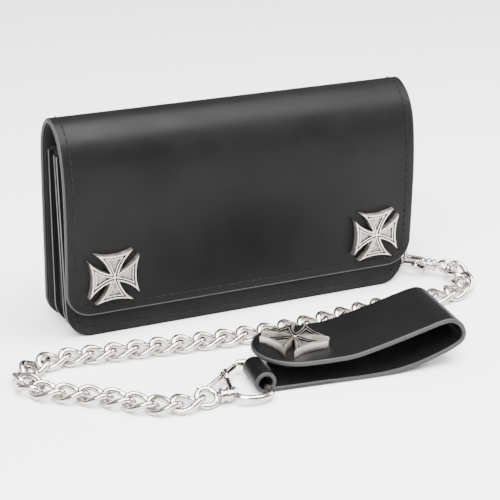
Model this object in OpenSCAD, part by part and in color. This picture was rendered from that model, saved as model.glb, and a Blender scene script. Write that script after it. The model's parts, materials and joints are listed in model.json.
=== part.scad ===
// Long biker wallet in black leather, with a snap-down flap, two cross conchos,
// a curb chain and a leather belt loop.
// Millimetres.  X runs along the wallet, the flap faces -Y, Z is up.
// The origin is on the surface it stands on, under the middle of the wallet.

/* [Wallet] */
// Width of the outer cover
cover_w = 190; // [165:1:215]
// Height of the closed wallet
cover_h = 108; // [98:1:128]
// Depth of the closed cover, outside to outside
cover_d = 34; // [33:0.5:42]
// Thickness of the cover leather
cover_t = 2.2; // [1.6:0.1:2.4]
// Thickness of the lining leather
lining_t = 0.8; // [0.5:0.1:1]
// Radius of the bottom corners
corner_r = 13; // [8:1:18]
// Height of the flap's lower edge above the wallet's bottom
flap_lift = 12.5; // [8:0.5:18]

/* [Pockets] */
// How far the inner panels stop short of the cover's sides
panel_inset = 1.5; // [1:0.1:3]
// Height of the inner panels
panel_h = 91; // [75:1:91]
// Thickness of the front panel
front_t = 2; // [1.4:0.1:2.4]
// Thickness of the pocket's back panel and of the note divider
inner_t = 1.6; // [1:0.1:2]
// Space between the two leathers of the zipped coin pocket
coin_gap = 1.8; // [1.5:0.1:2.5]
// Backward lean of the front panel, degrees
front_lean = 5.8; // [4.5:0.1:6.5]
// Backward lean of the note divider, degrees
divider_lean = 2.3; // [1:0.1:2.6]
// Distance from the flap to the front panel at the bottom
front_gap = 4; // [3.6:0.1:5]
// Distance from the flap to the note divider at the bottom
divider_y = 21.2; // [20:0.1:22]
// Thickness of the gusset leather
gusset_t = 1.2; // [0.8:0.1:1.6]
// How far the gussets sit inside the panels' edges
gusset_inset = 2.5; // [1.5:0.1:4]
// Thickness of a card pocket
card_t = 0.8; // [0.5:0.1:0.9]
// Height that each card pocket stands above the one in front
card_step = 15; // [10:1:17]
// Height of the front card pocket
card_h = 30; // [25:1:36]

/* [Snaps and conchos] */
// Distance of each snap from the wallet's middle
snap_x = 72; // [55:1:78]
// Height of the snaps
snap_z = 32.5; // [28:0.5:40]
// Size of a concho, arm end to arm end
concho_w = 26; // [23:0.5:32]
// Height of a concho above the leather
concho_t = 4; // [3:0.1:5]
// Radius of the rivet behind a concho
rivet_r = 1.5; // [1.2:0.1:1.8]
// Radius of the snap's knob
knob_r = 1.9; // [1.6:0.1:2.2]
// Outer radius of the snap's socket and flange
snap_r = 4.6; // [4.2:0.1:6]

/* [Chain] */
// Thickness of the link wire
wire_d = 2.8; // [2.6:0.1:2.9]
// Outer length of a link
link_l = 18.2; // [18:0.1:18.6]
// Outer width of a link
link_w = 13.2; // [12.9:0.1:13.8]
// Twist of a link, end to end, degrees
link_twist = 90; // [85:1:95]

/* [Belt loop] */
// Width of the strap
strap_w = 41; // [38:1:46]
// Thickness of the strap
strap_t = 2.2; // [1.8:0.1:2.5]
// Width of the tongue that is rolled round the clasp
tongue_w = 19; // [16:1:19]
// Outer radius of the tongue's roll
roll_r = 5.2; // [5.1:0.1:5.6]
// Length of the strap's flat part, from the roll to where it starts to rise
flat_l = 52; // [46:1:58]
// Radius of the lower layer's slow rise
rise_r = 100; // [80:1:120]
// Angle through which the lower layer rises before the fold, degrees
rise_angle = 25.5; // [20:0.5:26]
// Outer radius of the fold
fold_r = 8.2; // [7.6:0.1:9.5]
// Height of the upper layer's top face at the snap
upper_z = 13; // [12.9:0.1:13.3]
// Distance of the snap from the roll
strap_snap_x = 21; // [19:0.5:22]

/* [Clasps] */
// Radius of the clasp wire
bar_r = 1.5; // [1.3:0.1:1.6]
// Radius of the swivel barrel
barrel_r = 3.4; // [3:0.1:3.8]
// Radius of the swivel's neck
neck_r = 1.3; // [1.1:0.1:1.5]

/* [Hidden] */
$fn = 48;
// Gap between pieces that move past each other
run = 0.3;
// Gap between pieces that are sewn or glued face to face
seat = 0.03;
// Gap round a rivet in its hole
hole_fit = 0.1;
// How far a concho's rivet stands out behind the leather
rivet_out = 0.3;
// Turn at each of the fold's creases
crease = 30;

front_y = -(cover_d + concho_t) / 2 + concho_t;
back_y = front_y + cover_d;
strip_l = cover_d / (1 + 2 * cos(crease) + 2 * cos(2 * crease));
crease_z = cover_h - strip_l * (sin(crease) + sin(2 * crease));
lining_y = back_y - cover_t;
back_in_y = lining_y - lining_t;
flap_in_y = front_y + cover_t;
panel_w = cover_w - 2 * panel_inset;
// Faces of the front panel, the coin pocket's back and the divider at the bottom
front_face_y = front_y + front_gap;
pocket_face_y = front_face_y + front_t + coin_gap;
pocket_back_y = pocket_face_y + inner_t;
divider_face_y = front_y + divider_y;
divider_back_y = divider_face_y + inner_t;

// ---------- shared shapes ----------

// Outline of a panel standing on its lower edge, with round lower corners
module panel_outline(w, h, r) {
    translate([-w / 2, r]) square([w, h - r]);
    translate([-w / 2 + r, 0]) square([w - 2 * r, h]);
    for (side = [-1, 1])
        translate([side * (w / 2 - r), r]) circle(r = r, $fn = 64);
}

// An outline drawn in X and Z, made into a sheet from the plane Y=0 to Y=t
module stand_up(t) {
    translate([0, t, 0]) rotate([90, 0, 0]) linear_extrude(t) children();
}

// Leans a sheet whose front face is at Y=0 back about its lower back edge
module lean_back(y, t, angle) {
    translate([0, y + t, 0]) rotate([-angle, 0, 0]) translate([0, -t, 0]) children();
}

// A section drawn in Y and Z, drawn out along X
module along_x(length) {
    rotate([90, 0, 90]) linear_extrude(length, center = true) children();
}

function unit(v) = v / norm(v);

// A cast bar lying in the XY plane, mitred at each point of its path
function left_of(a, b) = let (d = unit(b - a)) [-d.y, d.x];
function bar_side(path, half) = [for (i = [0 : len(path) - 1])
    let (after = left_of(path[min(i, len(path) - 2)], path[min(i, len(path) - 2) + 1]))
    let (before = i == 0 ? after : left_of(path[i - 1], path[i]))
    let (mitre = unit(before + after))
    path[i] + half / (mitre * after) * mitre];
module cast_bar(path, width, height) {
    left = bar_side(path, width / 2);
    right = bar_side(path, -width / 2);
    linear_extrude(height, center = true)
        polygon(concat(left, [for (i = [len(right) - 1 : -1 : 0]) right[i]]));
}

// Front-view outline of the cross with flared arms, drawn in by inset
module cross_outline(size, inset) {
    half = size / 2;
    side_at = [1.706, -0.286] * half;
    side_r = 1.6 * half + inset;
    hollow_r = 2 * half;
    difference() {
        square(2 * (half - inset), center = true);
        for (turn = [0 : 90 : 270]) rotate(turn) {
            intersection() {
                translate(side_at) circle(r = side_r, $fn = 144);
                translate([side_at.y, side_at.x]) circle(r = side_r, $fn = 144);
            }
            translate([0, 0.86 * half - inset + hollow_r]) circle(r = hollow_r, $fn = 120);
        }
    }
}

// A concho lying on Z=0, facing up: plate, raised rim and raised fields
module concho_shape() {
    plate_t = concho_t * 0.65;
    rim_w = concho_w * 0.045;
    linear_extrude(plate_t) cross_outline(concho_w, 0);
    difference() {
        linear_extrude(concho_t) cross_outline(concho_w, 0);
        translate([0, 0, -1]) linear_extrude(concho_t + 2) cross_outline(concho_w, rim_w);
    }
    linear_extrude(concho_t * 0.85) cross_outline(concho_w, 2 * rim_w);
}

// ---------- wallet body ----------

module back_cover() {
    color("#1b1b1d") translate([0, lining_y, 0]) stand_up(cover_t)
        panel_outline(cover_w, crease_z - run / 2, corner_r);
}

module back_lining() {
    color("#232325") translate([0, back_in_y + seat, 0]) stand_up(lining_t - 2 * seat)
        translate([0, panel_inset]) panel_outline(panel_w, crease_z - 3 * panel_inset, corner_r);
}

// Band that follows the sides and the bottom, inside the panels' edges
module gusset_band() {
    w = panel_w - 2 * gusset_inset;
    r = corner_r - gusset_inset;
    translate([0, 50, 0]) rotate([90, 0, 0]) linear_extrude(100) difference() {
        translate([0, gusset_inset]) panel_outline(w, panel_h - gusset_inset, r);
        translate([0, gusset_inset + gusset_t])
            panel_outline(w - 2 * gusset_t, panel_h, r - gusset_t);
    }
}

// Space between two leaning faces, from the floor to above the panels
module wedge(y_front, lean_front, y_back, lean_back) {
    top = panel_h + 10;
    along_x(cover_w * 2) polygon([
        [y_front + seat, 0],
        [y_back - seat, 0],
        [y_back - seat + top * tan(lean_back), top],
        [y_front + seat + top * tan(lean_front), top]]);
}

// D-ring on the right side, held by a tab that goes in through the front gusset
tab_z = 10.3;
tab_w = 8;
tab_tail = 9;
tab_leather_t = 1.2;
ring_wire_r = 1.1;
ring_r = 9;
ring_x = panel_w / 2 - 0.5;
ring_y = front_y + 15.5;
tab_loop_r = ring_wire_r + 0.15 + tab_leather_t;

module rear_gusset() {
    color("#1a1a1a") intersection() {
        gusset_band();
        wedge(divider_back_y, divider_lean, back_in_y, 0);
    }
}

module note_divider() {
    color("#3a3a3d") lean_back(divider_face_y, inner_t, divider_lean) stand_up(inner_t)
        panel_outline(panel_w, panel_h, corner_r);
}

// Card pockets are stacked on the divider's front face, the lowest in front
module card_pocket(index) {
    layer = 3 - index;
    color("#222224") lean_back(divider_face_y, inner_t, divider_lean)
        translate([0, -(layer + 1) * card_t + seat, 0]) stand_up(card_t - 2 * seat)
        translate([0, 2 * gusset_inset])
        panel_outline(panel_w - 6 * gusset_inset, card_h + layer_step(index) - 2 * gusset_inset, 3);
}

function layer_step(index) = card_step * (index - 1);

module front_gusset() {
    slot = 2 * (tab_loop_r + hole_fit);
    color("#1a1a1a") difference() {
        intersection() {
            gusset_band();
            wedge(pocket_back_y + 0.05, front_lean, divider_face_y, divider_lean);
        }
        translate([ring_x, ring_y, tab_z]) 
            cube([2 * tab_tail, slot, tab_w + 2 * hole_fit], center = true);
    }
}

module pocket_back() {
    color("#3a3a3d") lean_back(pocket_face_y, inner_t, front_lean) stand_up(inner_t)
        panel_outline(panel_w, panel_h, corner_r);
}

// Places things on the leaning front panel: X, Z along it, Y out of its back face
module on_front_panel() {
    lean_back(front_face_y, front_t, front_lean) children();
}

module front_panel() {
    color("#1d1d1f") difference() {
        on_front_panel() stand_up(front_t) panel_outline(panel_w, panel_h, corner_r);
        for (side = [-1, 1]) on_front_panel() translate([side * snap_x, -1, snap_z])
            rotate([-90, 0, 0]) cylinder(h = front_t + 2, r = rivet_r + hole_fit);
    }
}

// Zip that closes the coin pocket: filler tape between the leathers, and its teeth
zip_l = 150;
tooth_pitch = 2.5;
tooth_w = 1.3;
tape_h = 9;

module coin_zip() {
    color("#161616") on_front_panel() {
        translate([-zip_l / 2, front_t + coin_gap / 2 - 0.4, panel_h - tape_h])
            cube([zip_l, 0.8, tape_h + 0.4]);
        for (x = [-zip_l / 2 + tooth_pitch : tooth_pitch : zip_l / 2 - tooth_pitch])
            translate([x, front_t + coin_gap / 2 - 0.8, panel_h + 0.4 - seat])
                cube([tooth_w, 1.6, 1.6]);
    }
}

slider_x = -zip_l / 2 + 4;
slider_z = panel_h + 2 + run;
pull_l = 12;

module zip_slider() {
    color("#b9b9bb") on_front_panel() translate([slider_x, front_t + coin_gap / 2, slider_z]) {
        translate([0, 0, 0.6]) cube([8, 5, 1.2], center = true);
        for (side = [-1, 1]) translate([0, side * (0.8 + run + 0.35), -0.6])
            cube([8, 0.7, 2.4], center = true);
        for (end = [-1, 1]) translate([end * 2.4, 0, 2]) cube([1, 1.4, 1.7], center = true);
        translate([0, 0, 2.6]) rotate([0, 90, 0]) cylinder(h = 5.8, r = 0.6, center = true);
    }
}

module zip_pull() {
    color("#c4c4c6") on_front_panel()
        translate([slider_x, front_t + coin_gap / 2, slider_z + 2.6]) difference() {
        union() {
            translate([-1.7, 0.2, -0.65]) cube([3.4, pull_l, 1.3]);
            rotate([0, 90, 0]) cylinder(h = 3.4, r = 1.25, center = true);
        }
        rotate([0, 90, 0]) cylinder(h = 10, r = 0.7, center = true);
        translate([0, pull_l - 3, -2]) cylinder(h = 4, r = 1);
    }
}

module snap_studs() {
    color("#a5a5a8") for (side = [-1, 1]) on_front_panel()
        translate([side * snap_x, 0, snap_z]) rotate([90, 0, 0]) {
            translate([0, 0, seat]) cylinder(h = 0.6, r = snap_r);
            translate([0, 0, seat]) cylinder(h = 3.2, r = knob_r);
            translate([0, 0, -front_t - 0.5]) cylinder(h = front_t + 0.7, r = rivet_r);
        }
}

module snap_washers() {
    color("#a5a5a8") for (side = [-1, 1]) on_front_panel()
        translate([side * snap_x, front_t + seat, snap_z]) rotate([-90, 0, 0]) difference() {
            cylinder(h = 0.5, r = snap_r - 1);
            translate([0, 0, -1]) cylinder(h = 3, r = rivet_r + hole_fit);
        }
}

// Leather tab folded round the D-ring's straight side
module ring_tab() {
    color("#1b1b1d") translate([ring_x, ring_y, tab_z]) difference() {
        union() {
            cylinder(h = tab_w, r = tab_loop_r, center = true);
            translate([-tab_tail, -tab_leather_t, -tab_w / 2])
                cube([tab_tail, 2 * tab_leather_t, tab_w]);
        }
        cylinder(h = tab_w + 2, r = ring_wire_r + 0.15, center = true);
    }
}

module d_ring() {
    color("#d3d3d6") translate([ring_x, ring_y, tab_z]) {
        cylinder(h = 2 * ring_r, r = ring_wire_r, center = true);
        for (end = [-1, 1]) translate([0, 0, end * ring_r]) sphere(ring_wire_r);
        rotate([90, 0, 0]) rotate([0, 0, -90]) rotate_extrude(angle = 180)
            translate([ring_r, 0]) circle(ring_wire_r);
    }
}

// ---------- flap ----------

// Point where crease i begins, and the direction of the cover after it, in Y and Z
function run_dir(i) = [-sin(crease * i), cos(crease * i)];
function crease_at(i) = i <= 1 ? [back_y, crease_z] : crease_at(i - 1) + strip_l * run_dir(i - 1);

module fold_strip(i) {
    d = run_dir(i);
    inward = [-cos(crease * i), -sin(crease * i)];
    start_mitre = cover_t * tan(i == 1 ? crease : crease / 2);
    end_mitre = cover_t * tan(i == 5 ? crease : crease / 2);
    p = crease_at(i);
    gap = run / 2;
    color("#202022") along_x(cover_w) polygon([
        p + gap * d,
        p + (strip_l - gap) * d,
        p + (strip_l - gap - end_mitre) * d + cover_t * inward,
        p + (gap + start_mitre) * d + cover_t * inward]);
}

module flap() {
    flap_h = crease_z - run / 2 - flap_lift;
    color("#1f1f21") difference() {
        translate([0, front_y, flap_lift]) stand_up(cover_t)
            panel_outline(cover_w, flap_h, corner_r);
        for (side = [-1, 1]) translate([side * snap_x, front_y - 1, snap_z])
            rotate([-90, 0, 0]) cylinder(h = cover_t + 2, r = rivet_r + hole_fit);
    }
}

module flap_lining() {
    border = 1;
    color("#2a2a2c") difference() {
        translate([0, flap_in_y + seat, flap_lift + border]) stand_up(lining_t - seat)
            panel_outline(cover_w - 2 * border, crease_z - flap_lift - 3 * border, corner_r - border);
        for (side = [-1, 1]) translate([side * snap_x, flap_in_y - 1, snap_z])
            rotate([-90, 0, 0]) cylinder(h = lining_t + 2, r = rivet_r + hole_fit);
    }
}

module wallet_concho(side) {
    color("#8f8c86") translate([side * snap_x, front_y - seat, snap_z]) rotate([90, 0, 0]) {
        concho_shape();
        translate([0, 0, -cover_t - lining_t - rivet_out])
            cylinder(h = cover_t + lining_t + 1, r = rivet_r);
    }
}

module snap_sockets() {
    color("#a5a5a8") for (side = [-1, 1])
        translate([side * snap_x, flap_in_y + lining_t + seat, snap_z]) rotate([-90, 0, 0])
        difference() {
            cylinder(h = 1.7, r = snap_r);
            translate([0, 0, -1]) cylinder(h = 4, r = knob_r + 0.6);
        }
}

// ---------- chain ----------

// Middle line of the chain, laid on the floor in front of the wallet
route = [
    [120, -18, 6.4], [120.5, -24.5, 5.6], [118.5, -31, 4.5], [114.5, -37.5, 3.9],
    [108, -42, 3.6], [98, -43.5, 3.6], [80, -42.5, 3.6], [56, -43, 3.6], [34, -46, 3.6],
    [8, -48, 3.6], [-16, -47, 3.6], [-38, -45, 3.6], [-62, -42, 3.6], [-86, -39, 3.6],
    [-102, -36.5, 3.6], [-115, -37, 3.6], [-125.5, -43, 3.6], [-129.5, -54, 3.6],
    [-125.5, -65, 3.6], [-115, -72.5, 3.6], [-102.5, -81, 3.6], [-92, -91.5, 3.6],
    [-83, -99.5, 3.6], [-74.5, -103, 3.8], [-64, -102.5, 4.2]];
route_steps = 8;
link_count = 33;
link_pitch = 11;

function spline(p0, p1, p2, p3, t) =
    0.5 * (2 * p1 + (p2 - p0) * t + (2 * p0 - 5 * p1 + 4 * p2 - p3) * t * t
        + (3 * p1 - p0 - 3 * p2 + p3) * t * t * t);
last = len(route) - 1;
smooth_route = concat(
    [for (i = [0 : last - 1], k = [0 : route_steps - 1])
        spline(route[max(i - 1, 0)], route[i], route[i + 1], route[min(i + 2, last)],
            k / route_steps)],
    [route[last]]);
smooth_last = len(smooth_route) - 1;
run_to = [for (i = 0, s = 0; i <= smooth_last;
    s = s + (i < smooth_last ? norm(smooth_route[i + 1] - smooth_route[i]) : 0), i = i + 1) s];
function along(axis) = [for (i = [0 : smooth_last]) [run_to[i], smooth_route[i][axis]]];
along_route = [along(0), along(1), along(2)];
function route_at(s) = [for (axis = [0 : 2]) lookup(s, along_route[axis])];

// One link: an oval of wire twisted about its long axis
link_rings = 16;
link_sides = 6;
link_a = (link_l - wire_d) / 2;
link_b = (link_w - wire_d) / 2;
function link_mid(t) =
    let (turn = -link_twist / 2 * cos(t), across = link_b * sin(t))
    [link_a * cos(t), across * cos(turn), across * sin(turn)];
function link_out(t) =
    let (turn = -link_twist / 2 * cos(t))
    let (out = [cos(t) * link_b, sin(t) * link_a * cos(turn), sin(t) * link_a * sin(turn)])
    out / norm(out);
link_points = [for (i = [0 : link_rings - 1])
    let (t = 360 * i / link_rings)
    let (tangent = unit(link_mid(t + 1) - link_mid(t - 1)))
    let (out = unit(link_out(t) - (link_out(t) * tangent) * tangent))
    let (up = cross(tangent, out))
    for (k = [0 : link_sides - 1])
        let (u = 360 * k / link_sides)
        link_mid(t) + wire_d / 2 * (cos(u) * out + sin(u) * up)];
link_faces = [for (i = [0 : link_rings - 1], k = [0 : link_sides - 1])
    let (j = (i + 1) % link_rings, m = (k + 1) % link_sides)
    each [[i * link_sides + k, i * link_sides + m, j * link_sides + m],
          [i * link_sides + k, j * link_sides + m, j * link_sides + k]]];

module chain_link() {
    polyhedron(link_points, link_faces);
}

// Distances along the route at which neighbouring links meet, one pitch apart in a straight line
function next_joint(from, guess, tries) = tries == 0 ? guess :
    next_joint(from, guess + link_pitch - norm(route_at(guess) - route_at(from)), tries - 1);
link_joints = [for (i = 0, s = 0; i <= link_count;
    s = next_joint(s, s + link_pitch, 6), i = i + 1) route_at(s)];

module chain_links(group) {
    per_group = ceil(link_count / 6);
    color("#d6d4d0") for (i = [(group - 1) * per_group : min(group * per_group, link_count) - 1]) {
        d = unit(link_joints[i + 1] - link_joints[i]);
        translate((link_joints[i] + link_joints[i + 1]) / 2)
            rotate([0, -asin(d.z), atan2(d.y, d.x)]) chain_link();
    }
}

// ---------- clasps ----------

// Swivel barrel along X, its bore taking the neck of the swivel eye
module barrel(length) {
    difference() {
        union() {
            rotate([0, 90, 0]) cylinder(h = length, r = barrel_r - 0.5, center = true);
            for (x = [-length / 2 + 0.7, 0, length / 2 - 0.7])
                translate([x, 0, 0]) rotate([0, 90, 0]) cylinder(h = 1.4, r = barrel_r, center = true);
        }
        translate([-length / 2 - 1, 0, 0]) rotate([0, 90, 0])
            cylinder(h = length / 2 + 1, r = neck_r + hole_fit);
    }
}

barrel_l = 8;
eye_r = 4.6;
eye_wire_r = 1.3;

// Eye that turns in a barrel's bore, with its ring in the vertical plane
module swivel_eye(roll_angle) {
    rotate([roll_angle, 0, 0]) {
        translate([-barrel_l / 2 - eye_r - 1.5, 0, 0]) rotate([90, 0, 0]) rotate_extrude()
            translate([eye_r, 0]) circle(eye_wire_r);
        translate([-barrel_l / 2 - 1.9, 0, 0]) rotate([0, 90, 0])
            cylinder(h = barrel_l / 2 + 1.4, r = neck_r);
    }
}

// The belt loop's own frame: the roll's middle line is at X=0, the strap runs to +X
strap_at = [-28, -81.5, 0];
strap_turn = -6.5;
tongue_y = -strap_w / 2 + tongue_w / 2;

module at_strap() {
    translate(strap_at) rotate([0, 0, strap_turn]) children();
}

// Belt-loop clasp: a wide hook lying almost flat, its end bar inside the strap's roll
clasp_at = [-50.3, -103.6, 4.2];
clasp_tilt = 3.5;
end_bar_x = 19.7;
near_arm_y = -6.5;
far_arm_y = 26.5;
hook_post = [3.8, 13];
hook_pivot = [4.5, 18.5];
pivot_r = 1;
gate_r = 1;
gate_t = 2;
cheek_t = 1;
cheek_z = gate_t / 2 + 0.25 + cheek_t / 2;

module at_belt_clasp() {
    translate(clasp_at) rotate([clasp_tilt, 0, strap_turn]) children();
}

// Two cheeks from the barrel to a gate's pivot, and the pin between them
module cheeks(pivot, root) {
    for (end = [-1, 1]) translate([0, 0, end * cheek_z]) {
        cast_bar([root, pivot], 2.6, cheek_t);
        translate(pivot) cylinder(h = cheek_t - 0.1, r = 2.1, center = true);
    }
    translate(pivot) cylinder(h = 2 * cheek_z, r = pivot_r, center = true);
}

// A gate's hub with the pin's hole, and the bars that leave it
module gate(pivot, tip, thumb) {
    difference() {
        union() {
            translate(pivot) cylinder(h = gate_t, r = 1.9, center = true);
            cast_bar(concat([tip, pivot], thumb), 2 * gate_r, gate_t - 0.1);
        }
        translate(pivot) cylinder(h = 8, r = pivot_r + 0.06, center = true);
    }
}

module belt_clasp() {
    color("#cfcdc9") at_belt_clasp() {
        barrel(barrel_l);
        cast_bar([[3, -1], [5, -4.5], [11, near_arm_y], [end_bar_x - 3, near_arm_y + 0.8],
            [end_bar_x, near_arm_y + 3.5], [end_bar_x, far_arm_y - 3.5],
            [end_bar_x - 3, far_arm_y - 0.3], [12.6, far_arm_y + 0.2]], 2 * bar_r, 2 * bar_r);
        cast_bar([[2.6, 2], hook_post], 2.4, 2 * bar_r);
        cheeks(hook_pivot, hook_post);
    }
}

module belt_clasp_gate() {
    color("#c7c5c1") at_belt_clasp() gate(hook_pivot, [11.2, 24.3], [[-7.8, 7.6], [-12, 8.6]]);
}

module belt_swivel() {
    color("#d6d4d0") at_belt_clasp() swivel_eye(-60);
}

// Wallet clasp: a narrow hook through the D-ring, beside the wallet
claw_at = [110.6, -9.5, 6.4];
claw_turn = 134.7;
claw_l = 17.2;
claw_post = [3.2, 1.2];
claw_pivot = [6.4, 3.2];

module at_wallet_clasp() {
    translate(claw_at) rotate([0, 0, claw_turn]) children();
}

module wallet_clasp() {
    color("#cfcdc9") at_wallet_clasp() {
        barrel(barrel_l);
        cast_bar([[3, -1], [5.5, -5], [claw_l - 3.5, -5], [claw_l - 0.7, -3.7], [claw_l, -1.2],
            [claw_l + 0.2, 1.4], [claw_l - 2.1, 3.7]], 2 * bar_r, 2 * bar_r);
        cheeks(claw_pivot, claw_post);
    }
}

module wallet_clasp_gate() {
    color("#c7c5c1") at_wallet_clasp() gate(claw_pivot, [13.2, 3.2], [[2.6, 6.4], [0.4, 7.2]]);
}

module wallet_swivel() {
    color("#d6d4d0") at_wallet_clasp() swivel_eye(-35);
}

// ---------- belt loop ----------

upper_in_z = upper_z - strap_t;
roll_in_r = roll_r - strap_t;
round_r = strap_w / 2;
tail_l = 12;
tail_w = strap_w / 2 + snap_r + 2;
snap_gap = 0.25;
rise_end = [flat_l + rise_r * sin(rise_angle), rise_r * (1 - cos(rise_angle))];
fold_mid = rise_end + fold_r * [-sin(rise_angle), cos(rise_angle)];
slope = 14.5;
slope_start = fold_mid + fold_r * [-sin(slope), cos(slope)];
slope_end_x = slope_start.x - (slope_start.y - upper_z) / tan(slope);
split_angle = 0;
concho_turn = 17;
// Angle by which neighbouring stretches of the strap run into each other
lap = 0.3;

// A section drawn along the strap and upwards, drawn out across its width
module across(width) {
    rotate([90, 0, 0]) linear_extrude(width, center = true) children();
}

// Part of a ring between two angles less than 180 degrees apart
module ring_part(mid, outer, from, to) {
    far = 3 * outer;
    mean = (from + to) / 2;
    translate(mid) intersection() {
        difference() {
            circle(r = outer, $fn = 120);
            circle(r = outer - strap_t, $fn = 120);
        }
        polygon([[0, 0], far * [cos(from), sin(from)], 2 * far * [cos(mean), sin(mean)],
            far * [cos(to), sin(to)]]);
    }
}

module strap_lower() {
    gap = run / 2 / fold_r * 180 / PI;
    taper = 14;
    color("#1c1c1e") at_strap() difference() {
        union() {
            across(strap_w) {
                translate([roll_r + taper, 0]) square([flat_l - roll_r - taper, strap_t]);
                ring_part([flat_l, rise_r], rise_r, -90 - lap, -90 + rise_angle);
                ring_part(fold_mid, fold_r, -90 + rise_angle - lap, split_angle - gap);
            }
            linear_extrude(strap_t) polygon([
                [0, -strap_w / 2], [roll_r + taper, -strap_w / 2], [roll_r + taper, strap_w / 2],
                [roll_r + 4, tongue_y + tongue_w / 2], [0, tongue_y + tongue_w / 2]]);
            translate([0, tongue_y, 0]) across(tongue_w) {
                translate([0, roll_r]) circle(r = roll_r, $fn = 96);
                translate([0, strap_t - 0.01]) square([roll_r + 4, strap_t + 0.01]);
            }
            translate([0, (tail_w - strap_w) / 2, 0]) across(tail_w)
                translate([roll_r + 3, strap_t - 0.01])
                square([strap_snap_x + tail_l - roll_r - 3, strap_t + 0.01]);
        }
        translate([0, tongue_y, roll_r]) rotate([90, 0, 0])
            cylinder(h = tongue_w + 10, r = roll_in_r, center = true, $fn = 96);
        translate([0, tongue_y - tongue_w / 2 - 5.01, roll_r])
            cube([2 * roll_r, 10, 2 * roll_r], center = true);
        translate([strap_snap_x, 0, -1]) cylinder(h = 3 * strap_t, r = rivet_r + hole_fit);
    }
}

module strap_upper() {
    gap = run / 2 / fold_r * 180 / PI;
    color("#1f1f21") at_strap() difference() {
        intersection() {
            across(strap_w) {
                ring_part(fold_mid, fold_r, split_angle + gap, 90 + slope);
                polygon([slope_start, [slope_end_x, upper_z], [-strap_w, upper_z],
                    [-strap_w, upper_in_z], [slope_end_x + strap_t * tan(slope / 2), upper_in_z],
                    slope_start + strap_t * [sin(slope), -cos(slope)]]);
            }
            linear_extrude(100) {
                translate([strap_snap_x, 0]) circle(r = round_r, $fn = 120);
                translate([strap_snap_x, -strap_w]) square([200, 2 * strap_w]);
            }
        }
        translate([strap_snap_x, 0, 0]) cylinder(h = 40, r = rivet_r + hole_fit);
    }
}

module strap_stud() {
    color("#a5a5a8") at_strap() translate([strap_snap_x, 0, 0]) {
        translate([0, 0, 2 * strap_t + seat]) cylinder(h = 0.6, r = snap_r);
        translate([0, 0, 0.05]) cylinder(h = 2 * strap_t + 1, r = rivet_r);
        translate([0, 0, 2 * strap_t + seat]) cylinder(h = 2.6, r = knob_r);
    }
}

module strap_socket() {
    socket_t = upper_in_z - 2 * strap_t - 0.6 - snap_gap - 2 * seat;
    color("#a5a5a8") at_strap() translate([strap_snap_x, 0, upper_in_z - seat - socket_t])
        difference() {
            cylinder(h = socket_t, r = snap_r);
            translate([0, 0, -1]) cylinder(h = 3.4, r = knob_r + 0.6);
            translate([0, 0, -1]) cylinder(h = 10, r = rivet_r + hole_fit);
        }
}

module strap_concho() {
    color("#8f8c86") at_strap() translate([strap_snap_x, 0, upper_z + seat]) {
        rotate(concho_turn) concho_shape();
        translate([0, 0, -strap_t - rivet_out]) cylinder(h = strap_t + 1, r = rivet_r);
    }
}

back_cover();
back_lining();
rear_gusset();
note_divider();
card_pocket(1);  // card_pocket_1
card_pocket(2);  // card_pocket_2
card_pocket(3);  // card_pocket_3
front_gusset();
pocket_back();
front_panel();
coin_zip();
zip_slider();
zip_pull();
snap_studs();
snap_washers();
ring_tab();
d_ring();
fold_strip(1);  // fold_strip_1
fold_strip(2);  // fold_strip_2
fold_strip(3);  // fold_strip_3
fold_strip(4);  // fold_strip_4
fold_strip(5);  // fold_strip_5
flap();
flap_lining();
wallet_concho(-1);  // concho_left
wallet_concho(1);  // concho_right
snap_sockets();
wallet_clasp();
wallet_clasp_gate();
wallet_swivel();
chain_links(1);  // chain_links_1
chain_links(2);  // chain_links_2
chain_links(3);  // chain_links_3
chain_links(4);  // chain_links_4
chain_links(5);  // chain_links_5
chain_links(6);  // chain_links_6
belt_swivel();
belt_clasp();
belt_clasp_gate();
strap_lower();
strap_upper();
strap_stud();
strap_socket();
strap_concho();
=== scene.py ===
import json
import math

import bmesh
import bpy
from mathutils import Matrix, Vector


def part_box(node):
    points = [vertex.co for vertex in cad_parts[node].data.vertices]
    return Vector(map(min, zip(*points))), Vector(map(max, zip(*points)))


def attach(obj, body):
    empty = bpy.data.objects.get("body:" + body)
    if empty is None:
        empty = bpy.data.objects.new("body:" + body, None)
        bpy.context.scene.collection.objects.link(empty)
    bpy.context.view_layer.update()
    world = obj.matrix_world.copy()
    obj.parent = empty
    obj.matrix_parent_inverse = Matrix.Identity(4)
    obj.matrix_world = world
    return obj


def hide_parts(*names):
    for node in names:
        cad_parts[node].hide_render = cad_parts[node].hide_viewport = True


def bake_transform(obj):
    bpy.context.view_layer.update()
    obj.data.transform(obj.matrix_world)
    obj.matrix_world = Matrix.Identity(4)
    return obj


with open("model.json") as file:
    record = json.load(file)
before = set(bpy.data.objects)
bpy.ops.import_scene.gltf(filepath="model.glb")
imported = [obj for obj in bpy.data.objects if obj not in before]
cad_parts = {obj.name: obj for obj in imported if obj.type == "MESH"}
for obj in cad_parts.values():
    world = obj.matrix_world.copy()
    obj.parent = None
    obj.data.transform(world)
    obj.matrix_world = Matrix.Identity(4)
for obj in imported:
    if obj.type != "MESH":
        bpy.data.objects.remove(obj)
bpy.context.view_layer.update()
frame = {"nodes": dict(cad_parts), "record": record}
MM = 0.001
nodes = frame["nodes"]


# ---------- sizes read from the frame ----------

def box_size(node):
    low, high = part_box(node)
    return [high[i] - low[i] for i in range(3)]


record = frame["record"]

# The fold's corners in Y and Z: the back's top edge, four between the strips, the flap's top edge
CREASES = [(19 * MM, 95.556 * MM), (14.445 * MM, 103.445 * MM), (6.555 * MM, 108 * MM),
           (-2.555 * MM, 108 * MM), (-10.445 * MM, 103.445 * MM), (-15 * MM, 95.556 * MM)]
# The flap turns about this crease, counted from the back
HINGE = 4

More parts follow.
